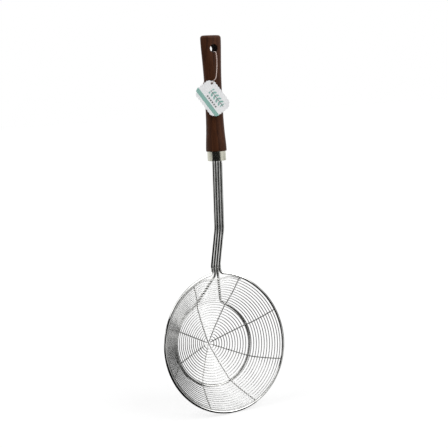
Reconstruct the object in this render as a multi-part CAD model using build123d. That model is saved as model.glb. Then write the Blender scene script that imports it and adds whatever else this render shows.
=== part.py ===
from build123d import *
import math
import os

# Spider skimmer: a wire bowl on a long shaft with an oval wooden handle.
# The bowl is wound from one thin wire that lies on radial wires. A thick rim wire and a thick
# support wire hold it, and their four ends run side by side up the shaft into the handle.
# The origin is the centre of the hang hole, +Z runs up the handle and the bowl's mouth looks
# along -Y. The skimmer hangs by its hole, with the card tag on its string in front.
# Lengths are in millimetres and angles in degrees.

# Wires
frame_wire = 3.3
mesh_wire = 1.1
radial_wire = 1.5
weld_gap = 0.08

# Bowl
rim_radius = 80.0
rim_drop = 270.3
rim_back = 15.0
rim_tilt = 9.4
shoulder_radius = 88.0
shoulder_angle = 80.0
rim_neck_radius = 5.0
support_radius = 51.3
support_depth = 33.7
support_seat_angle = 33.0
support_gap = 0.35
hub_depth = 44.3
bottom_edge_slope = 21.5
corner_radius = 8.0
last_turn_angle = 30.0

# Spiral mesh
spiral_turns = 26
spiral_start_radius = 5.6
spiral_edge_pitch = 1.9
spiral_end_angle = 23.0
flare_share = 0.92
flare_neck_share = 0.25
flare_neck_angle = 16.0
least_wire_gap = 0.4

# Radial wires
first_radial_angle = 26.4
radial_lean = 4.2
lean_start_run = 3.0
radial_count = 8
through_radial = 7
hub_end_radius = 2.2
hub_bend_radius = 25.0
spoke_end_gap = 0.38

# Support wire's legs
leg_top_drop = 5.4
leg_top_radius = 8.0
foot_run = 6.0
left_foot_angle = 27.0
right_foot_angle = 27.0
foot_radius_share = 0.9

# Shaft
tang_length = 60.0
lean_run = 4.0
lean_radius = 60.0
knee_drop = 210.0
knee_back = 3.6
knee_radius = 45.0
neck_run = 4.3
neck_radius_share = 0.86

# Handle
handle_above_hole = 15.2
handle_below_hole = 117.5
butt_width = 25.6
butt_depth = 14.5
waist_width = 20.4
waist_depth = 18.6
foot_width = 24.1
butt_rounding = 3.2
foot_rounding = 0.8
hole_diameter = 9.3
hole_rounding = 0.6
slot_fit = 0.1
slot_spare = 1.0
cut_overrun = 2.0

# Ferrule
ferrule_diameter = 21.7
ferrule_height = 11.0
ferrule_wall = 0.6
ferrule_lip = 1.3
ferrule_rounding = 0.45
ferrule_fit = 0.05

# Tag
tag_length = 39.5
tag_width = 27.2
tag_thickness = 0.5
tag_corner = 5.0
tag_scallop_pitch = 3.4
tag_scallop_height = 0.8
tag_hole_diameter = 2.6
tag_hole_from_end = 5.8
tag_hole_from_side = 4.0
tag_turn = 27.0
tag_standoff = 14.0
tag_side = 1.6
tag_drop = 39.4

# String
string_diameter = 0.9
string_route = [
    (-0.6, 12.1, -16.2),
    (-2.0, 12.3, -21.0),
    (-4.4, 12.2, -27.5),
    (-7.6, 11.6, -34.5),
    (-11.0, 9.2, -41.0),
    (-13.6, 4.9, -45.6),
    (-14.4, 0.0, -47.6),
    (-13.6, -4.6, -47.6),
    (-12.0, -7.2, -45.2),
    (-10.4, -7.7, -42.0),
    (-8.9, -8.6, -39.9),
    (-7.9, -11.0, -39.1),
    (-7.6, -14.0, -38.5),
    (-7.0, -15.9, -36.0),
    (-4.4, -16.6, -34.0),
    (-2.8, -16.1, -29.7),
    (-1.6, -15.3, -24.4),
    (-0.8, -14.4, -18.6),
    (-0.1, -13.2, -13.0),
    (0.0, -12.2, -8.3),
    (0.1, -10.7, -3.7),
    (0.1, -5.2, -3.95),
    (0.2, 4.6, -3.9),
    (0.2, 10.6, -3.7),
    (0.0, 12.1, -8.4),
    (-0.3, 12.2, -13.1),
]
string_arc_share = 0.45
knot_diameter = 2.7
knot_end_diameter = 1.5
knot_fit = 0.2

# The tables of shares, chosen by hand: along the handle, then towards the butt's size, then
# towards the foot's size, each from the waist's
handle_station_shares = (
    (0.00, 1.00, 0.00),
    (0.10, 0.95, 0.00),
    (0.21, 0.57, 0.00),
    (0.31, 0.26, 0.00),
    (0.49, 0.00, 0.00),
    (0.70, 0.00, 0.10),
    (0.81, 0.00, 0.34),
    (0.91, 0.00, 0.76),
    (1.00, 0.00, 1.00),
)

# Where the spiral's arcs join in each turn, in degrees from the neck, closer where it flares
spiral_joints = (0, 16, 34, 60, 105, 180, 255, 300, 326, 344)
# Where the arcs of a radial wire's wall join, as shares of the mesh's wall
radial_joints = (0.2, 0.45, 0.7)

# Limits for the working out
small_step = 1e-4
straight_turn = 1e-4
joint_margin = 0.01
radial_longest_share = 1.2

# Worked out from the sizes above
wire_pitch = frame_wire + weld_gap
outer_wire_x = 1.5 * wire_pitch
inner_wire_x = 0.5 * wire_pitch
radial_offset = (mesh_wire + radial_wire) / 2 + weld_gap
support_offset = (mesh_wire + frame_wire) / 2 + radial_wire + weld_gap + support_gap
tilt = math.radians(rim_tilt)
bowl_side = Vector(1, 0, 0)
bowl_up = Vector(0, math.sin(tilt), math.cos(tilt))
bowl_mouth = Vector(0, -math.cos(tilt), math.sin(tilt))
bowl_centre = Vector(0, rim_back, -rim_drop) - bowl_up * rim_radius
handle_foot = -handle_below_hole
ferrule_foot = handle_foot - ferrule_height

# The neck, where the rim's shoulders bend into the shaft, as side and height from the rim's centre
shoulder_shift = shoulder_radius - rim_radius
shoulder_turn = math.radians(shoulder_angle)
shoulder_centre = (-shoulder_shift * math.sin(shoulder_turn), -shoulder_shift * math.cos(shoulder_turn))
neck_bend_reach = shoulder_radius + rim_neck_radius
neck_bend_side = outer_wire_x + rim_neck_radius
neck_bend_height = shoulder_centre[1] + math.sqrt(
    neck_bend_reach**2 - (neck_bend_side - shoulder_centre[0]) ** 2
)


def in_bowl(side, up, mouth):
    """A place given from the rim's centre: to the side, up towards the handle, out of the mouth."""
    return bowl_centre + bowl_side * side + bowl_up * up + bowl_mouth * mouth


def along_bowl(side, up, mouth):
    """A direction given in the bowl's own axes."""
    return (bowl_side * side + bowl_up * up + bowl_mouth * mouth).normalized()


def on_circle(centre, radius, slope):
    """The point of a section's arc whose tangent rises at this slope, in radians."""
    return centre[0] + radius * math.sin(slope), centre[1] - radius * math.cos(slope)


def tube(path, diameter):
    """A round wire of this diameter along a path."""
    section = Plane(origin=path @ 0, z_dir=path % 0) * Circle(diameter / 2)
    return sweep(section, path=path)


# The bowl's section, as radius and height from the rim's plane: a shallow dished bottom, a
# rounded corner over the support ring, and a straight wall up to the last turn at the rim
seat_angle = math.radians(support_seat_angle)
seat_reach = corner_radius + support_offset
corner_centre = (
    support_radius - seat_reach * math.sin(seat_angle),
    -support_depth + seat_reach * math.cos(seat_angle),
)
last_reach = (frame_wire + mesh_wire) / 2 + weld_gap
last_turn = (
    rim_radius - last_reach * math.cos(math.radians(last_turn_angle)),
    -last_reach * math.sin(math.radians(last_turn_angle)),
)
wall_span = (last_turn[0] - corner_centre[0], last_turn[1] - corner_centre[1])
wall_slope = math.atan2(wall_span[1], wall_span[0]) + math.asin(corner_radius / math.hypot(*wall_span))
edge_slope = math.radians(bottom_edge_slope)
bottom_edge = on_circle(corner_centre, corner_radius, edge_slope)
hub_slope = 2 * math.atan((bottom_edge[1] + hub_depth) / bottom_edge[0]) - edge_slope
bottom_radius = bottom_edge[0] / (math.sin(edge_slope) - math.sin(hub_slope))
bottom_centre = (
    -bottom_radius * math.sin(hub_slope),
    -hub_depth + bottom_radius * math.cos(hub_slope),
)
wall_foot = on_circle(corner_centre, corner_radius, wall_slope)
bottom_run = bottom_radius * (edge_slope - hub_slope)
corner_run = corner_radius * (wall_slope - edge_slope)
wall_run = math.hypot(last_turn[0] - wall_foot[0], last_turn[1] - wall_foot[1])


def mesh_flare(angle):
    """How far the mesh's last turn stands out from its circle, to follow the rim's shoulders."""
    from_top = abs((angle + 180) % 360 - 180)
    near = min(1, from_top / flare_neck_angle)
    smooth = near**2 * (3 - 2 * near)
    share = flare_neck_share + (1 - flare_neck_share) * smooth
    return flare_share * share * (rim_reach(angle) - rim_radius)


def wall_place(share, flare, outside):
    """A point over the wall: at this share of its run, with its top flared, outside its middle."""
    way = (math.cos(wall_slope), math.sin(wall_slope))
    out = (way[1], -way[0])
    rise = wall_run + flare * way[0]
    bulge = flare * out[0]
    turn = 2 * math.atan2(bulge, rise)
    if turn < straight_turn:
        across, along = outside, share * wall_run
    else:
        radius = (rise**2 + bulge**2) / (2 * bulge)
        across = radius - (radius - outside) * math.cos(turn * share)
        along = (radius - outside) * math.sin(turn * share)
    return (
        wall_foot[0] + way[0] * along + out[0] * across,
        wall_foot[1] + way[1] * along + out[1] * across,
    )


def mesh_place(run, flare):
    """Radius and height of the mesh at this run along its section, from the hub."""
    if run < bottom_run:
        return on_circle(bottom_centre, bottom_radius, hub_slope + run / bottom_radius)
    if run < bottom_run + corner_run:
        return on_circle(corner_centre, corner_radius, edge_slope + (run - bottom_run) / corner_radius)
    return wall_place((run - bottom_run - corner_run) / wall_run, flare, 0)


def rim_reach(angle):
    """Distance from the rim's centre to the rim wire's centre line at this angle from the handle."""
    from_top = abs((angle + 180) % 360 - 180)
    if from_top >= shoulder_angle:
        return rim_radius
    turn = math.radians(from_top - shoulder_angle)
    across = shoulder_shift * math.sin(turn)
    return math.sqrt(shoulder_radius**2 - across**2) - shoulder_shift * math.cos(turn)


def biarc(start, start_way, end, end_way):
    """Two arcs that leave start along start_way and arrive at end along end_way."""
    chord = end - start
    ways = start_way + end_way
    bend = 2 * (1 - start_way.dot(end_way))
    both = chord.dot(ways)
    reach = (math.sqrt(both**2 + bend * chord.dot(chord)) - both) / bend
    joint = (start + start_way * reach + end - end_way * reach) / 2
    joint_way = (end - end_way * reach - start - start_way * reach).normalized()
    return [
        Edge.make_tangent_arc(start, start_way, joint),
        Edge.make_tangent_arc(joint, joint_way, end),
    ]


def shaft_route(x):
    """Corners of a shaft wire from its end in the handle down to the bowl's neck."""
    return [
        Vector(x, 0, handle_foot + tang_length),
        Vector(x, 0, ferrule_foot - lean_run),
        Vector(x, knee_back, -knee_drop),
        in_bowl(x, neck_bend_height + neck_run, 0),
    ]


def shaft_radii():
    """Radii of a shaft wire's three bends; the neck's bend takes up its run down to the rim."""
    knee, neck = shaft_route(0)[2:]
    turn = math.radians((neck - knee).get_angle(-bowl_up))
    return [lean_radius, knee_radius, neck_radius_share * neck_run / math.tan(turn / 2)]


def rim_path():
    """The rim wire's centre line: down the shaft, round the rim and back up."""
    meet_share = shoulder_radius / neck_bend_reach
    meet = (
        shoulder_centre[0] + (neck_bend_side - shoulder_centre[0]) * meet_share,
        shoulder_centre[1] + (neck_bend_height - shoulder_centre[1]) * meet_share,
    )
    shoulder_foot = (rim_radius * math.sin(shoulder_turn), rim_radius * math.cos(shoulder_turn))
    halves = []
    for side in (1, -1):
        x = side * outer_wire_x
        leg = shaft_route(x) + [in_bowl(x, neck_bend_height, 0)]
        straight = FilletPolyline(*leg, radius=shaft_radii())
        neck = Edge.make_tangent_arc(leg[-1], -bowl_up, in_bowl(side * meet[0], meet[1], 0))
        shoulder_end = in_bowl(side * shoulder_foot[0], shoulder_foot[1], 0)
        shoulder = Edge.make_tangent_arc(neck @ 1, neck % 1, shoulder_end)
        halves.append(straight.edges() + [neck, shoulder])
    round_rim = Edge.make_three_point_arc(
        halves[0][-1] @ 1, in_bowl(0, -rim_radius, 0), halves[1][-1] @ 1
    )
    return Wire(halves[0] + [round_rim] + halves[1])


def support_path():
    """The support wire's centre line: down the shaft and a leg, round the ring and back."""
    legs = []
    for side, foot_angle in ((1, right_foot_angle), (-1, left_foot_angle)):
        angle = math.radians(foot_angle)
        ring_start = in_bowl(
            side * support_radius * math.sin(angle), support_radius * math.cos(angle), -support_depth
        )
        ring_way = along_bowl(side * math.cos(angle), -math.sin(angle), 0)
        knuckle = ring_start - ring_way * foot_run
        leg_top = in_bowl(side * inner_wire_x, neck_bend_height - leg_top_drop, 0)
        turn = math.radians((knuckle - leg_top).get_angle(ring_way))
        foot_radius = foot_radius_share * foot_run / math.tan(turn / 2)
        route = shaft_route(side * inner_wire_x) + [leg_top, knuckle, ring_start]
        legs.append(FilletPolyline(*route, radius=shaft_radii() + [leg_top_radius, foot_radius]))
    ring = Edge.make_three_point_arc(
        legs[0] @ 1, in_bowl(0, -support_radius, -support_depth), legs[1] @ 1
    )
    return Wire(legs[0].edges() + [ring] + legs[1].edges())


def spiral_place(turn):
    """A point of the spiral's centre line, after this many turns."""
    first_slope = math.asin((spiral_start_radius - bottom_centre[0]) / bottom_radius)
    first_run = bottom_radius * (first_slope - hub_slope)
    last_run = bottom_run + corner_run + wall_run
    even_turns = spiral_turns - 1
    even_pitch = (last_run - spiral_edge_pitch - first_run) / even_turns
    if turn <= even_turns:
        run = first_run + even_pitch * turn
    else:
        run = last_run - spiral_edge_pitch * (spiral_turns - turn)
    angle = spiral_end_angle + 360 * turn
    radius, height = mesh_place(run, mesh_flare(angle))
    return in_bowl(
        radius * math.sin(math.radians(angle)), radius * math.cos(math.radians(angle)), height
    )


def direction(place, at):
    """The direction of a line of places, as it runs on."""
    return (place(at + small_step) - place(at - small_step)).normalized()


def spiral_path():
    """The mesh wire's centre line: biarcs from joint to joint, with a short straight run at each end."""
    turns = [0]
    for whole in range(spiral_turns + 1):
        for joint in spiral_joints:
            turn = whole + (joint - spiral_end_angle) / 360
            if joint_margin < turn < spiral_turns - joint_margin:
                turns.append(turn)
    turns.append(spiral_turns)
    places = [(spiral_place(turn), direction(spiral_place, turn)) for turn in turns]
    first, first_way = places[0]
    last, last_way = places[-1]
    edges = [Edge.make_line(first - first_way * mesh_wire, first)]
    for (start, start_way), (end, end_way) in zip(places, places[1:]):
        edges += biarc(start, start_way, end, end_way)
    edges.append(Edge.make_line(last, last + last_way * mesh_wire))
    return Wire(edges)


def least_self_gap(path_edges):
    """The least clear gap between the spiral's turns, measured on points of its centre line."""
    points = [edge @ 0 for edge in path_edges]
    per_turn = 2 * len(spiral_joints)
    near = math.inf
    for index, point in enumerate(points):
        for other in range(index + per_turn // 2, min(index + 2 * per_turn, len(points) - 1)):
            near = min(near, path_edges[other].distance_to(Vertex(*point)))
    return near - mesh_wire


def radial_wall(angle):
    """A radial wire's wall from its tip under the rim to its foot over the support ring.

    It lies on the outside of the mesh and leans, so its tip stands a few degrees back from the
    angle of the bottom.
    """
    stop = frame_wire / 2 + spoke_end_gap
    start_share = lean_start_run / wall_run

    def place(share):
        lean = radial_lean * max(0, share - start_share) / (1 - start_share)
        turn = math.radians(angle - lean)
        radius, height = wall_place(share, mesh_flare(angle - lean), radial_offset)
        return in_bowl(radius * math.sin(turn), radius * math.cos(turn), height)

    def below_rim(share):
        from_centre = place(share) - bowl_centre
        side, up = from_centre.dot(bowl_side), from_centre.dot(bowl_up)
        reach = rim_reach(math.degrees(math.atan2(side, up)))
        return math.hypot(math.hypot(side, up) - reach, from_centre.dot(bowl_mouth)) - stop

    low, high = radial_joints[-1], radial_longest_share
    while high - low > small_step:
        middle = (low + high) / 2
        low, high = (middle, high) if below_rim(middle) > 0 else (low, middle)
    shares = [low, *reversed(radial_joints), 0]
    places = [(place(share), -direction(place, share)) for share in shares]
    edges = []
    for (start, start_way), (end, end_way) in zip(places, places[1:]):
        edges += biarc(start, start_way, end, end_way)
    return Wire(edges)


def radial_half(angle, inner_slope):
    """Edges of a radial wire from the rim to where its bottom has inner_slope, at this angle."""
    turn = math.radians(angle)

    def place(point):
        return in_bowl(point[0] * math.sin(turn), point[0] * math.cos(turn), point[1])

    bottom = bottom_radius + radial_offset
    corner = corner_radius + radial_offset
    wall = radial_wall(angle)
    corner_mid = on_circle(corner_centre, corner, (wall_slope + edge_slope) / 2)
    corner_end = on_circle(corner_centre, corner, edge_slope)
    bottom_mid = on_circle(bottom_centre, bottom, (edge_slope + inner_slope) / 2)
    bottom_end = on_circle(bottom_centre, bottom, inner_slope)
    corner_arc = Edge.make_three_point_arc(wall @ 1, place(corner_mid), place(corner_end))
    bottom_arc = Edge.make_three_point_arc(place(corner_end), place(bottom_mid), place(bottom_end))
    return wall.edges() + [corner_arc, bottom_arc]


def spoke_path(angle):
    """A radial wire that stops beside the hub."""
    bottom = bottom_radius + radial_offset
    inner_slope = math.asin((hub_end_radius - bottom_centre[0]) / bottom)
    return Wire(radial_half(angle, inner_slope))


def through_path(angle):
    """The radial wire that runs across the hub, with a gentle bend there."""
    bottom = bottom_radius + radial_offset
    join_slope = math.asin(-bottom_centre[0] / (bottom - hub_bend_radius))
    join = on_circle(bottom_centre, bottom, join_slope)
    lowest = join[1] + hub_bend_radius * (math.cos(join_slope) - 1)
    near = radial_half(angle, join_slope)
    far = radial_half(angle + 180, join_slope)
    hub_arc = Edge.make_three_point_arc(near[-1] @ 1, in_bowl(0, 0, lowest), far[-1] @ 1)
    return Wire(near + [hub_arc] + far)


def make_handle():
    """Oval wooden handle with its hang hole, its tenon for the ferrule and the slot for the wires."""
    length = handle_above_hole + handle_below_hole
    sections = []
    for along, butt, foot in handle_station_shares:
        width = waist_width + butt * (butt_width - waist_width) + foot * (foot_width - waist_width)
        depth = waist_depth + butt * (butt_depth - waist_depth) + foot * (foot_width - waist_depth)
        level = Plane.XY.offset(handle_above_hole - along * length)
        sections.append(level * Ellipse(width / 2, depth / 2))
    wood = loft(sections)
    wood = fillet(wood.faces().sort_by(Axis.Z)[-1].edges(), butt_rounding)
    wood = fillet(wood.faces().sort_by(Axis.Z)[0].edges(), foot_rounding)
    hole = Plane.XZ * Cylinder(hole_diameter / 2, butt_width)
    wood -= hole
    mouths = wood.edges().filter_by(lambda edge: hang_hole_mouth(edge))
    wood = fillet(mouths, hole_rounding)
    tenon_length = ferrule_height - ferrule_wall - ferrule_fit
    tenon_radius = ferrule_diameter / 2 - ferrule_wall - ferrule_fit
    tenon = Cylinder(tenon_radius, tenon_length + foot_rounding, align=(Align.CENTER, Align.CENTER, Align.MAX))
    wood += Pos(0, 0, handle_foot + foot_rounding) * tenon
    slot_width = 2 * outer_wire_x + frame_wire + 2 * slot_fit
    slot_height = frame_wire + 2 * slot_fit
    slot_top = handle_foot + tang_length + slot_spare
    slot_length = slot_top - ferrule_foot + cut_overrun
    slot = extrude(Plane.XY.offset(slot_top) * SlotOverall(slot_width, slot_height), -slot_length)
    return wood - slot


def hang_hole_mouth(edge):
    """Whether an edge is a mouth of the hang hole: near its wall and away from its middle."""
    middle = edge @ 0.5
    from_axis = math.hypot(middle.X, middle.Z)
    at_wall = abs(from_axis - hole_diameter / 2) < hole_rounding / 2
    return at_wall and edge.length > hole_diameter and abs(middle.Y) > hole_rounding


def make_ferrule():
    """Metal sleeve on the tenon, its lower edge turned inwards."""
    outer = ferrule_diameter / 2
    top = handle_foot - ferrule_fit
    with BuildSketch(Plane.XZ) as profile:
        with BuildLine():
            Polyline(
                (outer, top),
                (outer, ferrule_foot),
                (outer - ferrule_wall - ferrule_lip, ferrule_foot),
                (outer - ferrule_wall - ferrule_lip, ferrule_foot + ferrule_wall),
                (outer - ferrule_wall, ferrule_foot + ferrule_wall),
                (outer - ferrule_wall, top),
                close=True,
            )
        make_face()
        fillet(profile.vertices().group_by(Axis.Y)[0].sort_by(Axis.X)[-1], ferrule_rounding)
    return revolve(profile.sketch, Axis.Z)


def tag_outline():
    """The tag's scalloped edge, with its centre at the origin: bumps along every straight side."""
    half_long = tag_length / 2 - tag_scallop_height
    half_short = tag_width / 2 - tag_scallop_height
    corners = [
        (half_long - tag_corner, half_short),
        (half_long, half_short - tag_corner),
        (half_long, -half_short + tag_corner),
        (half_long - tag_corner, -half_short),
        (-half_long + tag_corner, -half_short),
        (-half_long, -half_short + tag_corner),
        (-half_long, half_short - tag_corner),
        (-half_long + tag_corner, half_short),
    ]
    edges = []
    for (x1, y1), (x2, y2) in zip(corners, corners[1:] + corners[:1]):
        side = math.hypot(x2 - x1, y2 - y1)
        bumps = max(1, round(side / tag_scallop_pitch))
        out = ((y1 - y2) / side * tag_scallop_height, (x2 - x1) / side * tag_scallop_height)
        for bump in range(bumps):
            start, end = bump / bumps, (bump + 1) / bumps
            middle = (start + end) / 2
            edges.append(
                ThreePointArc(
                    (x1 + (x2 - x1) * start, y1 + (y2 - y1) * start),
                    (x1 + (x2 - x1) * middle + out[0], y1 + (y2 - y1) * middle + out[1]),
                    (x1 + (x2 - x1) * end, y1 + (y2 - y1) * end),
                )
            )
    return edges


def make_tag():
    """Card tag, hung from its punched hole with its centre straight below that hole."""
    hole_long = -(tag_length / 2 - tag_hole_from_end)
    hole_short = tag_width / 2 - tag_hole_from_side
    card = make_face(Wire(tag_outline())) - Pos(hole_long, hole_short) * Circle(tag_hole_diameter / 2)
    card = extrude(card, tag_thickness / 2, both=True)
    fall = math.degrees(math.atan2(hole_long, hole_short))
    turn = math.radians(tag_turn)
    face = Vector(-math.sin(turn), -math.cos(turn), 0)
    right = Vector(math.cos(turn), -math.sin(turn), 0)
    hook = face * tag_standoff - right * tag_side + Vector(0, 0, -tag_drop)
    hung = Plane(origin=hook, x_dir=right, z_dir=face)
    return hung * Rot(0, 0, fall) * Pos(-hole_long, -hole_short) * card


def make_string():
    """String from its knot behind the handle, round to the tag and back through the hang hole."""
    points = [Vector(*point) for point in string_route]
    radii = []
    for before, corner, after in zip(points, points[1:], points[2:]):
        turn = math.radians((corner - before).get_angle(after - corner))
        shorter = min((corner - before).length, (after - corner).length)
        radii.append(string_arc_share * shorter / math.tan(turn / 2))
        print("string turn", round(math.degrees(turn), 1), "radius", round(radii[-1], 2))
    route = FilletPolyline(*points, radius=radii)
    string = tube(Wire(route.edges()), string_diameter)
    expected = math.pi * string_diameter**2 / 4 * route.length
    print("string length", round(route.length, 1), "volume share", round(string.volume / expected, 4))
    return string


def make_knot():
    """Small knot that joins the string's two ends behind the handle."""
    top, low = Vector(*string_route[-1]), Vector(*string_route[0])
    half = (top - low).length / 2 - knot_fit
    end = knot_end_diameter / 2
    with BuildSketch(Plane.XZ) as profile:
        with BuildLine():
            Line((0, -half), (end, -half))
            ThreePointArc((end, -half), (knot_diameter / 2, 0), (end, half))
            Polyline((end, half), (0, half), (0, -half))
        make_face()
    barrel = revolve(profile.sketch, Axis.Z)
    return Plane(origin=(top + low) / 2, z_dir=top - low) * barrel


def make_parts():
    """Every piece by the name of its node."""
    spiral = spiral_path()
    gap = least_self_gap(spiral.edges())
    print("spiral's least gap to itself", round(gap, 2), "allowed", least_wire_gap)
    parts = {
        "handle": make_handle(),
        "ferrule": make_ferrule(),
        "rim_wire": tube(rim_path(), frame_wire),
        "support_wire": tube(support_path(), frame_wire),
        "spiral_wire": tube(spiral, mesh_wire),
        "hang_tag": make_tag(),
        "tag_string": make_string(),
        "string_knot": make_knot(),
    }
    through_pair = (through_radial, (through_radial + radial_count // 2) % radial_count)
    spokes = 0
    for index in range(radial_count):
        angle = first_radial_angle + index * 360 / radial_count
        if index == through_radial:
            parts["cross_wire"] = tube(through_path(angle), radial_wire)
        elif index not in through_pair:
            spokes += 1
            parts[f"spoke_{spokes}"] = tube(spoke_path(angle), radial_wire)
    return parts


os.makedirs("parts", exist_ok=True)
for name, part in make_parts().items():
    part.label = name
    export_step(part, f"parts/{name}.step")
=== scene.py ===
import math

import bmesh
import bpy
from mathutils import Matrix, Vector


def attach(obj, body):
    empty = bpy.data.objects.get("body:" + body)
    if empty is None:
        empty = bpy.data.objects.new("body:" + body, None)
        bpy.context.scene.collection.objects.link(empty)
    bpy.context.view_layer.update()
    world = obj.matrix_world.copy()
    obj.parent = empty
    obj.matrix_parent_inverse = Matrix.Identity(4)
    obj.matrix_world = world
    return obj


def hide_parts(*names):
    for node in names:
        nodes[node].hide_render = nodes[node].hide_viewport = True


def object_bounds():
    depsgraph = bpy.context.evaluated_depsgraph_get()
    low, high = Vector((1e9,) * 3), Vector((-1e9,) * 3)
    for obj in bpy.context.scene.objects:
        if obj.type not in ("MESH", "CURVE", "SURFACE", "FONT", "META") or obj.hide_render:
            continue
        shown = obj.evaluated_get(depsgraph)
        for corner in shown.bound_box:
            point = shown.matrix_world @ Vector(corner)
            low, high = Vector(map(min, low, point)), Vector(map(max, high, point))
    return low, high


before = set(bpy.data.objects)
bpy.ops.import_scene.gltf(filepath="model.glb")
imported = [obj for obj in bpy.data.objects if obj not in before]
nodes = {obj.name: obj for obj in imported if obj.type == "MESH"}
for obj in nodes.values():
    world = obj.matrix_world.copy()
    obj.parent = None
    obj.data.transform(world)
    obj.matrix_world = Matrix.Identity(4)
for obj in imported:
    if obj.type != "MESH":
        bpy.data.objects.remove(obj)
cad_box = [list(corner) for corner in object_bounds()]
MM = 0.001

# Camera: three-quarter view of the hanging skimmer, from its left and looking a little down
eye = Vector((-0.557282, -1.018776, -0.046723))
right = Vector((0.87089416, -0.48866635, -0.05242679))
up = Vector((0.11090964, 0.09149079, 0.98961027))
back = Vector((-0.47879267, -0.86766044, 0.1338766))
facing = math.atan2(back.y, back.x)
focal_pixels = 996.35
picture_pixels = 448
sensor_width = 36
camera_data = bpy.data.cameras.new("camera")
camera_data.sensor_width = sensor_width
camera_data.lens = focal_pixels * sensor_width / picture_pixels
camera_data.clip_start = 0.01
camera = bpy.data.objects.new("camera", camera_data)
camera.matrix_world = Matrix((
    (right.x, up.x, back.x, eye.x),
    (right.y, up.y, back.y, eye.y),
    (right.z, up.z, back.z, eye.z),
    (0, 0, 0, 1),
))
bpy.context.scene.collection.objects.link(camera)
bpy.context.scene.camera = camera


# Helpers for node materials
def sheet(name):
    """A material, its node tree and its principled shader."""
    material = bpy.data.materials.new(name)
    material.use_nodes = True
    tree = material.node_tree
    return material, tree, tree.nodes["Principled BSDF"]


def bare_sheet(name):
    """A material and its node tree, with no node in it."""
    material = bpy.data.materials.new(name)
    material.use_nodes = True
    tree = material.node_tree
    tree.nodes.clear()
    return material, tree


def feed(tree, socket, value):
    """Link a socket from a (node, socket) pair, or else set it to the value."""
    if isinstance(value, tuple) and isinstance(value[0], bpy.types.Node):
        tree.links.new(value[0].outputs[value[1]], socket)
    elif socket.type == "RGBA" and len(value) == 3:
        socket.default_value = (*value, 1)
    else:
        socket.default_value = value


def add(tree, kind, inputs=None, **settings):
    """A node with its settings made and its inputs fed."""
    node = tree.nodes.new(kind)
    for key, value in settings.items():
        setattr(node, key, value)
    for key, value in (inputs or {}).items():
        feed(tree, node.inputs[key], value)
    return node


def sums(tree, operation, first, second=0.0, clamp=False):
    """A math node's result, as (node, socket)."""
    node = add(tree, "ShaderNodeMath", {0: first, 1: second}, operation=operation, use_clamp=clamp)
    return node, 0


def step(tree, value, low, high):
    """A smooth step of a value from low to high."""
    node = add(
        tree, "ShaderNodeMapRange", {"Value": value, "From Min": low, "From Max": high},
        interpolation_type="SMOOTHSTEP",
    )
    return node, "Result"


def fall(tree, value, full, none):
    """One up to a value of full, falling in a straight line to zero at none."""
    node = add(tree, "ShaderNodeMapRange", {
        "Value": value, "From Min": full, "From Max": none, "To Min": 1.0, "To Max": 0.0,
    })
    return node, "Result"


def spread(tree, value, low, high):
    """A noise value mapped in a straight line to a range."""
    node = add(tree, "ShaderNodeMapRange", {
        "Value": value, "From Min": 0.3, "From Max": 0.7, "To Min": low, "To Max": high,
    })
    return node, "Result"


def colour(tree, share, first, second):
    """Two colours mixed by a share."""
    node = add(tree, "ShaderNodeMix", data_type="RGBA")
    for socket, value in zip((node.inputs[0], node.inputs[6], node.inputs[7]), (share, first, second)):
        feed(tree, socket, value)
    return node, 2


def scaled(tree, vector, scale):
    """A vector scaled per axis."""
    return add(tree, "ShaderNodeMapping", {"Vector": vector, "Scale": scale}), "Vector"


def stretched(tree, scale):
    """Object coordinates in metres, scaled per axis."""
    coordinates = add(tree, "ShaderNodeTexCoord")
    return scaled(tree, (coordinates, "Object"), scale)


def noise(tree, vector, scale, detail=3.0, roughness=0.5):
    """A noise value at a place."""
    node = add(tree, "ShaderNodeTexNoise", {
        "Vector": vector, "Scale": scale, "Detail": detail, "Roughness": roughness,
    })
    return node, 0


def bump(tree, shader, height, distance, strength):
    """Fine relief on a shader, its distance in metres."""
    node = add(tree, "ShaderNodeBump", {"Height": height, "Distance": distance, "Strength": strength})
    tree.links.new(node.outputs[0], shader.inputs["Normal"])


def give(tree, value, shader, socket):
    """A (node, socket) pair linked to a shader's input."""
    tree.links.new(value[0].outputs[value[1]], shader.inputs[socket])


def dress(piece, material):
    """One material on a piece, in place of what it had."""
    piece.data.materials.clear()
    piece.data.materials.append(material)


def seen(tree):
    """One for rays from the camera, mirrored or refracted ones too, and zero for light on matt surfaces."""
    path = add(tree, "ShaderNodeLightPath")
    passed_on = sums(tree, "MAXIMUM", (path, "Is Glossy Ray"), (path, "Is Transmission Ray"))
    return sums(tree, "MAXIMUM", (path, "Is Camera Ray"), passed_on)


# String: the route's points, in millimetres, are the control points of one smooth spline
string_route = [
    (-0.6, 12.1, -16.2), (-1.1, 12.3, -21.5), (-2.0, 12.4, -28.5), (-3.8, 12.4, -35.5),
    (-8.0, 11.4, -42.0), (-12.4, 7.0, -46.2), (-14.4, 0.8, -47.6), (-13.6, -4.6, -47.6),
    (-12.0, -7.2, -45.2), (-10.4, -7.7, -42.0), (-8.9, -8.6, -39.9), (-7.9, -11.0, -39.1),
    (-7.6, -14.0, -38.5), (-7.0, -15.9, -36.0), (-4.6, -16.4, -34.0), (-3.4, -15.8, -29.7),
    (-2.2, -15.0, -24.4), (-1.1, -14.2, -18.6), (-0.3, -13.1, -13.0), (0.0, -12.2, -8.3),
    (0.1, -10.7, -3.7), (0.1, -5.2, -3.95), (0.2, 4.6, -3.9), (0.2, 10.6, -3.7),
    (0.0, 12.1, -8.4), (-0.3, 12.2, -13.1),
]
string_curve = bpy.data.curves.new("string", "CURVE")
string_curve.dimensions = "3D"
string_curve.resolution_u = 16
string_curve.bevel_depth = 0.45 * MM
string_curve.bevel_resolution = 5
string_curve.use_fill_caps = True
spline = string_curve.splines.new("NURBS")
spline.points.add(len(string_route) - 1)
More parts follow.
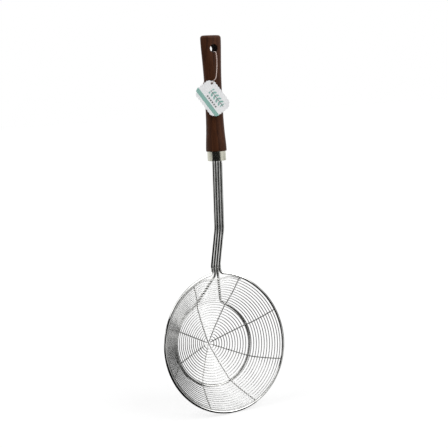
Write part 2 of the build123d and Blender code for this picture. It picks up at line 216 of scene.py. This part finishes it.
for point, place in zip(spline.points, string_route):
    point.co = (*(part * MM for part in place), 1)
spline.order_u = 3
spline.use_endpoint_u = True
string = bpy.data.objects.new("string", string_curve)
bpy.context.scene.collection.objects.link(string)

# Knot: a small tight overhand knot of the same string behind the handle, between the string's two ends
knot_top = Vector(string_route[-1]) * MM
knot_low = Vector(string_route[0]) * MM
knot_axis = (knot_top - knot_low).normalized()
knot_turn = knot_axis.to_track_quat("Z", "Y").to_matrix()
knot_points = 18
knot_size = 0.36
knot_lobe = 1.7
knot_rise = 2.2
knot_curve = bpy.data.curves.new("knot", "CURVE")
knot_curve.dimensions = "3D"
knot_curve.resolution_u = 8
knot_curve.bevel_depth = 0.46 * MM
knot_curve.bevel_resolution = 4
lay = knot_curve.splines.new("NURBS")
lay.points.add(knot_points - 1)
for index, point in enumerate(lay.points):
    turn = 2 * math.pi * index / knot_points
    place = Vector((
        math.sin(turn) + knot_lobe * math.sin(2 * turn),
        math.cos(turn) - knot_lobe * math.cos(2 * turn),
        -knot_rise * math.sin(3 * turn),
    )) * knot_size * MM
    point.co = (*((knot_top + knot_low) / 2 + knot_turn @ place), 1)
lay.order_u = 4
lay.use_cyclic_u = True
knot = bpy.data.objects.new("knot", knot_curve)
bpy.context.scene.collection.objects.link(knot)

# Steel wires: the thick ones get a painted highlight above the bowl, a brighter base colour that brightens
# their reflection there, blended in between these heights
painted_highlight_low = -0.29
painted_highlight_high = -0.26


def make_steel(name, light, dark, smooth, rough, painted_shaft_highlight=None):
    """Drawn steel wire with a slight cloud; the last argument, if given, is a brighter dark and light colour
    above the bowl, a painted highlight.
    """
    material, tree, shader = sheet(name)
    along = stretched(tree, (1, 1, 0.06))
    plain = stretched(tree, (1, 1, 1))
    drawn = noise(tree, along, 1500, 2)
    cloud = noise(tree, plain, 90, 4)
    grain = noise(tree, plain, 2600, 2)
    share = step(tree, cloud, 0.35, 0.68)
    body = colour(tree, share, dark, light)
    # Painted highlight: above the bowl the wire's colour is raised to a brighter steel, so the shaft reflects
    # brighter
    if painted_shaft_highlight:
        height = add(tree, "ShaderNodeSeparateXYZ", {0: plain})
        painted_highlight_share = step(tree, (height, "Z"), painted_highlight_low, painted_highlight_high)
        body = colour(tree, painted_highlight_share, body, colour(tree, share, *painted_shaft_highlight))
    give(tree, body, shader, "Base Color")
    give(tree, spread(tree, noise(tree, plain, 260, 3), smooth, rough), shader, "Roughness")
    shader.inputs["Metallic"].default_value = 1
    relief = sums(tree, "ADD", drawn, sums(tree, "MULTIPLY", grain, 0.4))
    bump(tree, shader, relief, distance=0.000004, strength=0.25)
    return material


# The thick wires' brighter pair of colours above the bowl is a painted highlight on the shaft
frame_steel = make_steel(
    "frame_steel", light=(0.5, 0.5, 0.49), dark=(0.38, 0.38, 0.37), smooth=0.05, rough=0.11,
    painted_shaft_highlight=((0.66, 0.66, 0.645), (0.8, 0.8, 0.785)),
)
mesh_steel = make_steel(
    "mesh_steel", light=(0.5, 0.5, 0.49), dark=(0.4, 0.4, 0.39), smooth=0.13, rough=0.21,
)
for name in ("rim_wire", "support_wire"):
    dress(nodes[name], frame_steel)
for name in ["spiral_wire", "cross_wire"] + [f"spoke_{index}" for index in range(1, 7)]:
    dress(nodes[name], mesh_steel)

# Ferrule: turned nickel, with fine rings round it and a few scuffs
ferrule_metal, tree, shader = sheet("ferrule_metal")
rings = noise(tree, stretched(tree, (0.02, 0.02, 1)), 5200, 3, 0.6)
scuffs = noise(tree, stretched(tree, (1, 1, 2.5)), 420, 4, 0.6)
tone = sums(tree, "ADD", sums(tree, "MULTIPLY", rings, 0.6), sums(tree, "MULTIPLY", scuffs, 0.4))
nickel = colour(tree, step(tree, tone, 0.36, 0.64), (0.5, 0.495, 0.41), (0.6, 0.595, 0.51))
give(tree, nickel, shader, "Base Color")
give(tree, spread(tree, tone, 0.16, 0.22), shader, "Roughness")
shader.inputs["Metallic"].default_value = 1
shader.inputs["Anisotropic"].default_value = 0.35
bump(tree, shader, rings, distance=0.000004, strength=0.2)
dress(nodes["ferrule"], ferrule_metal)

# Handle: dark stained wood with long fibres and pores, worn butt edges, and painted shade inside the bore,
# whose bare surface is also rougher
butt_edge = (0.0126, 0.015)
bore_edge = (0.0047, 0.0053)
wood, tree, shader = sheet("wood")
coordinates = add(tree, "ShaderNodeTexCoord")
separate = add(tree, "ShaderNodeSeparateXYZ", {0: (coordinates, "Object")})
wander = sums(tree, "SUBTRACT", noise(tree, stretched(tree, (1, 1, 0.35)), 34, 2), 0.5)
push = add(tree, "ShaderNodeCombineXYZ", {
    "X": sums(tree, "MULTIPLY", wander, 0.012),
    "Y": sums(tree, "MULTIPLY", wander, 0.008),
})
bent = add(tree, "ShaderNodeVectorMath", {0: (coordinates, "Object"), 1: (push, 0)}, operation="ADD")
slant = add(tree, "ShaderNodeMapping", {
    "Vector": (bent, 0), "Location": (0.031, 0.058, 0), "Rotation": (0.06, -0.05, 0.3),
    "Scale": (1, 1, 0.05),
})
growth = add(tree, "ShaderNodeTexWave", {
    "Vector": (slant, 0), "Scale": 62, "Distortion": 2.4, "Detail": 3, "Detail Scale": 1.6,
    "Detail Roughness": 0.6,
}, wave_type="RINGS", rings_direction="Z", wave_profile="SAW")
fibres = noise(tree, scaled(tree, (bent, 0), (1, 1, 0.035)), 1400, 4, 0.65)
pores = noise(tree, scaled(tree, (bent, 0), (1, 1, 0.09)), 2100, 1, 0.4)
pores = step(tree, pores, 0.66, 0.74)
blotch = noise(tree, stretched(tree, (1, 1, 0.3)), 70, 3, 0.6)
tone = sums(tree, "ADD", sums(tree, "MULTIPLY", (growth, 1), 0.14), sums(tree, "MULTIPLY", fibres, 0.5))
tone = sums(tree, "ADD", tone, sums(tree, "MULTIPLY", blotch, 0.36))
body = colour(tree, step(tree, tone, 0.32, 0.66), (0.023, 0.0066, 0.0024), (0.06, 0.0195, 0.0067))
body = colour(tree, sums(tree, "MULTIPLY", pores, 0.7), body, (0.006, 0.0026, 0.0016))
chips = step(tree, noise(tree, stretched(tree, (1, 1, 1)), 380, 3), 0.42, 0.6)
worn = sums(tree, "MULTIPLY", step(tree, (separate, "Z"), *butt_edge), chips)
body = colour(tree, sums(tree, "MULTIPLY", worn, 0.3), body, (0.13, 0.066, 0.037))
across = add(tree, "ShaderNodeCombineXYZ", {"X": (separate, "X"), "Z": (separate, "Z")})
from_hole = add(tree, "ShaderNodeVectorMath", {0: (across, 0)}, operation="LENGTH")
# Painted shade: inside the bore's radius the wood is darkened nearly to black, and the same mask makes the
# bore's bare surface rougher
bore_shade_and_bare = sums(tree, "SUBTRACT", 1.0, step(tree, (from_hole, "Value"), *bore_edge))
body = colour(tree, sums(tree, "MULTIPLY", bore_shade_and_bare, 0.85), body, (0.006, 0.0035, 0.0025))
give(tree, body, shader, "Base Color")
shader.inputs["Specular IOR Level"].default_value = 0.1
rough = sums(tree, "ADD", spread(tree, fibres, 0.36, 0.48), sums(tree, "MULTIPLY", pores, 0.25))
rough = sums(tree, "ADD", rough, sums(tree, "MULTIPLY", bore_shade_and_bare, 0.45), clamp=True)
give(tree, rough, shader, "Roughness")
relief = sums(tree, "SUBTRACT", fibres, sums(tree, "MULTIPLY", pores, 0.9))
bump(tree, shader, relief, distance=0.00006, strength=0.6)
dress(nodes["handle"], wood)

# Tag: white card with a generic print of a border band, a sprig of leaves and a row of dots
tag_turn = math.radians(27.0)
tag_length = 39.5
tag_width = 27.2
hook_from_end = 5.8
hook_from_side = 4.0
tag_face = Vector((-math.sin(tag_turn), -math.cos(tag_turn), 0))
tag_right = Vector((math.cos(tag_turn), -math.sin(tag_turn), 0))
tag_hook = (tag_face * 14 - tag_right * 1.6 + Vector((0, 0, -39.4))) * MM
hook_long = -(tag_length / 2 - hook_from_end)
hook_short = tag_width / 2 - hook_from_side
hang = math.atan2(hook_long, hook_short)
long_way = tag_right * math.cos(hang) + Vector((0, 0, 1)) * math.sin(hang)
short_way = -tag_right * math.sin(hang) + Vector((0, 0, 1)) * math.cos(hang)

card, tree, shader = sheet("card")
coordinates = add(tree, "ShaderNodeTexCoord")


def along_tag(way, start):
    """Millimetres along a way of the tag, where its hook is at start."""
    inputs = {0: (coordinates, "Object"), 1: way * 1000}
    node = add(tree, "ShaderNodeVectorMath", inputs, operation="DOT_PRODUCT")
    return sums(tree, "ADD", (node, "Value"), start - 1000 * way.dot(tag_hook))


def near(value, middle, half):
    """One where a value is within half of the middle, with a soft edge."""
    soft = 0.12
    away = sums(tree, "ABSOLUTE", sums(tree, "SUBTRACT", value, middle))
    return fall(tree, away, half - soft, half + soft)


def oval(first, second, half_first, half_second, tilt):
    """One inside a tilted oval round the zero of two measures."""
    cos, sin = math.cos(tilt), math.sin(tilt)
    one_first = sums(tree, "MULTIPLY", first, cos / half_first)
    one_second = sums(tree, "MULTIPLY", second, sin / half_first)
    one = sums(tree, "ADD", one_first, one_second)
    two_second = sums(tree, "MULTIPLY", second, cos / half_second)
    two_first = sums(tree, "MULTIPLY", first, sin / half_second)
    two = sums(tree, "SUBTRACT", two_second, two_first)
    size = sums(tree, "ADD", sums(tree, "MULTIPLY", one, one), sums(tree, "MULTIPLY", two, two))
    return fall(tree, size, 0.85, 1.15)


def every(value, pitch, start):
    """A value repeated at a pitch, from minus to plus half of it."""
    moved = sums(tree, "SUBTRACT", value, start)
    folded = add(tree, "ShaderNodeMath", {0: moved, 1: pitch / 2, 2: -pitch / 2}, operation="WRAP")
    return folded, 0


tag_a = along_tag(long_way, hook_long)
tag_b = along_tag(short_way, hook_short)
front = step(tree, along_tag(tag_face, 0), -0.1, 0.1)
band = near(tag_b, middle=-7.8, half=2.3)
from_stem = sums(tree, "ABSOLUTE", sums(tree, "SUBTRACT", tag_b, 3.9))
leaf_a = sums(tree, "SUBTRACT", every(tag_a, pitch=4.3, start=-8.2), 0.2)
leaf_b = sums(tree, "SUBTRACT", from_stem, 2.1)
leaf = oval(leaf_a, leaf_b, half_first=1.15, half_second=2.3, tilt=-0.7)
leaves = sums(tree, "MULTIPLY", leaf, near(tag_a, middle=2.6, half=10.7))
stem = sums(tree, "MULTIPLY", near(from_stem, middle=0.0, half=0.42), near(tag_a, middle=3.2, half=11.6))
dot_b = sums(tree, "SUBTRACT", tag_b, -3.0)
dot = oval(every(tag_a, pitch=3.0, start=-5.4), dot_b, half_first=1.1, half_second=1.1, tilt=0.0)
dots = sums(tree, "MULTIPLY", dot, near(tag_a, middle=2.1, half=9.0))
fibre = noise(tree, stretched(tree, (1, 1, 1)), 2300, 4, 0.6)
haze = noise(tree, stretched(tree, (1, 1, 1)), 120, 3)
patchy = step(tree, fibre, 0.3, 0.62)
paper = colour(tree, step(tree, haze, 0.3, 0.7), (0.77, 0.775, 0.79), (0.84, 0.845, 0.85))
green = colour(tree, patchy, (0.21, 0.4, 0.355), (0.27, 0.47, 0.42))
grey = colour(tree, patchy, (0.14, 0.155, 0.15), (0.21, 0.225, 0.22))
printed = colour(tree, sums(tree, "MULTIPLY", sums(tree, "MAXIMUM", band, leaves), front), paper, green)
printed = colour(tree, sums(tree, "MULTIPLY", sums(tree, "MAXIMUM", stem, dots), front), printed, grey)
give(tree, printed, shader, "Base Color")
give(tree, spread(tree, fibre, 0.45, 0.6), shader, "Roughness")
bump(tree, shader, fibre, distance=0.00002, strength=0.35)
dress(nodes["hang_tag"], card)

# String: pale twisted yarn, its plies drawn by the curve's own coordinates, with painted shade in the grooves
# between the plies
yarn, tree, shader = sheet("yarn")
coordinates = add(tree, "ShaderNodeTexCoord")
yarn_map = add(tree, "ShaderNodeSeparateXYZ", {0: (coordinates, "UV")})
turns = sums(tree, "MULTIPLY", (yarn_map, "X"), 62.0)
plies = sums(tree, "MULTIPLY", (yarn_map, "Y"), 2.0)
ply = sums(tree, "PINGPONG", sums(tree, "ADD", turns, plies), 0.5)
ridge = step(tree, ply, 0.0, 0.4)
fuzz = noise(tree, stretched(tree, (1, 1, 1)), 3200, 4, 0.7)
pale = colour(tree, step(tree, fuzz, 0.3, 0.7), (0.5, 0.39, 0.35), (0.66, 0.55, 0.51))
# Painted shade: the grooves between the plies, where the ridge mask is low, take a darker brown
pale = colour(tree, ridge, (0.31, 0.22, 0.19), pale)
give(tree, pale, shader, "Base Color")
give(tree, spread(tree, fuzz, 0.7, 0.9), shader, "Roughness")
shader.inputs["Sheen Weight"].default_value = 0.25
relief = sums(tree, "ADD", ridge, sums(tree, "MULTIPLY", fuzz, 0.5))
bump(tree, shader, relief, distance=0.00012, strength=0.8)
dress(string, yarn)
dress(knot, yarn)

# What rides on what
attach(string, "skimmer")
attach(knot, "skimmer")
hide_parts("tag_string")
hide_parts("string_knot")

# Floor just under the rim, white to the camera and in the metal, with the object's soft shadow
lowest = cad_box[0][2]
floor_gap = 0.0005
floor_mesh = bpy.data.meshes.new("floor")
shape = bmesh.new()
bmesh.ops.create_grid(shape, x_segments=8, y_segments=8, size=12)
shape.to_mesh(floor_mesh)
shape.free()
floor = bpy.data.objects.new("floor", floor_mesh)
floor.location = (0, 0, lowest - floor_gap)
bpy.context.scene.collection.objects.link(floor)
pale_floor, tree = bare_sheet("pale_floor")
strength = sums(tree, "MULTIPLY", seen(tree), 0.66)
glow = add(tree, "ShaderNodeEmission", {"Color": (1, 1, 1, 1), "Strength": strength})
matte = add(tree, "ShaderNodeBsdfDiffuse", {"Color": (0.3, 0.3, 0.3, 1)})
both = add(tree, "ShaderNodeAddShader", {0: (glow, 0), 1: (matte, 0)})
add(tree, "ShaderNodeOutputMaterial", {"Surface": (both, 0)})
floor_mesh.materials.append(pale_floor)

# Dark cards round the skimmer and on the floor, seen only in gloss: distances, and heights of their edges
card_near = 0.3
card_far = 0.5
card_under = 0.04
on_floor = lowest + 0.0002
handle_card_top = 0.04
ferrule_card_top = -0.145
shaft_card_top = -0.149
ferrule_card_low = -0.168
shaft_card_low = -0.295
bowl_card_top = -0.345


def make_flag(name, first, last, inner, outer, low, high, level=0.01):
    """A card between two angles in degrees from the camera's side, two distances and two heights."""
    mesh = bpy.data.meshes.new(name)
    shape = bmesh.new()
    columns = []
    steps = 12
    for index in range(steps + 1):
        angle = facing + math.radians(first + (last - first) * index / steps)
        way = Vector((math.cos(angle), math.sin(angle), 0))
        ends = ((inner, low), (outer, high))
        columns.append([shape.verts.new(way * reach + Vector((0, 0, z))) for reach, z in ends])
    for one, two in zip(columns, columns[1:]):
        shape.faces.new((one[0], two[0], two[1], one[1]))
    shape.to_mesh(mesh)
    shape.free()
    flag = bpy.data.objects.new(name, mesh)
    bpy.context.scene.collection.objects.link(flag)
    flag.visible_camera = False
    flag.visible_diffuse = False
    flag.visible_shadow = False
    flag.visible_transmission = False
    material, tree = bare_sheet(name)
    dim = add(tree, "ShaderNodeEmission", {"Color": (level, level, level, 1), "Strength": 1.0})
    add(tree, "ShaderNodeOutputMaterial", {"Surface": (dim, 0)})
    mesh.materials.append(material)


make_flag("flag_shaft", -60, 52, card_near, card_near, shaft_card_low, shaft_card_top)
make_flag("flag_low", -126, 64, card_far, card_far, lowest, bowl_card_top)
make_flag("flag_front", -60, 10, card_far, card_far, bowl_card_top, ferrule_card_low)
make_flag("flag_right", 90, 135, card_far, card_far, lowest, ferrule_card_low)
make_flag("flag_floor", -135, 60, card_under, card_far, on_floor, on_floor)
make_flag("flag_under", 0, 360, 0, card_under, on_floor, on_floor)
make_flag("flag_ferrule", -57, 41, card_far, card_far, ferrule_card_low, ferrule_card_top, level=0.02)
make_flag("flag_high", -95, 50, card_far, card_far, ferrule_card_top, handle_card_top, level=0.02)

# World: white to the camera and in the metal, a plain level of light for the rest
world = bpy.data.worlds.new("world")
bpy.context.scene.world = world
world.use_nodes = True
tree = world.node_tree
tree.nodes.clear()
level = add(tree, "ShaderNodeMapRange", {"Value": seen(tree), "To Min": 0.55, "To Max": 1.0})
sky = add(tree, "ShaderNodeBackground", {"Color": (1, 1, 1, 1), "Strength": (level, "Result")})
add(tree, "ShaderNodeOutputWorld", {"Surface": (sky, 0)})


# Two broad soft lamps, from the camera's right and left
def make_lamp(name, side_angle, height_angle, share, width):
    """A sun lamp at two angles in degrees from the camera's side and the level, with its width in degrees."""
    data = bpy.data.lights.new(name, "SUN")
    data.energy = share * math.pi
    data.angle = math.radians(width)
    lamp = bpy.data.objects.new(name, data)
    angle = facing + math.radians(side_angle)
    rise = math.radians(height_angle)
    place = Vector((math.cos(angle) * math.cos(rise), math.sin(angle) * math.cos(rise), math.sin(rise)))
    lamp.rotation_euler = place.to_track_quat("Z", "Y").to_euler()
    lamp.location = place * 2
    bpy.context.scene.collection.objects.link(lamp)


make_lamp("lamp_right", side_angle=58, height_angle=38, share=0.75, width=50)
make_lamp("lamp_left", side_angle=-68, height_angle=40, share=0.4, width=50)

scene = bpy.context.scene
scene.view_settings.view_transform = "Standard"

bpy.context.view_layer.update()
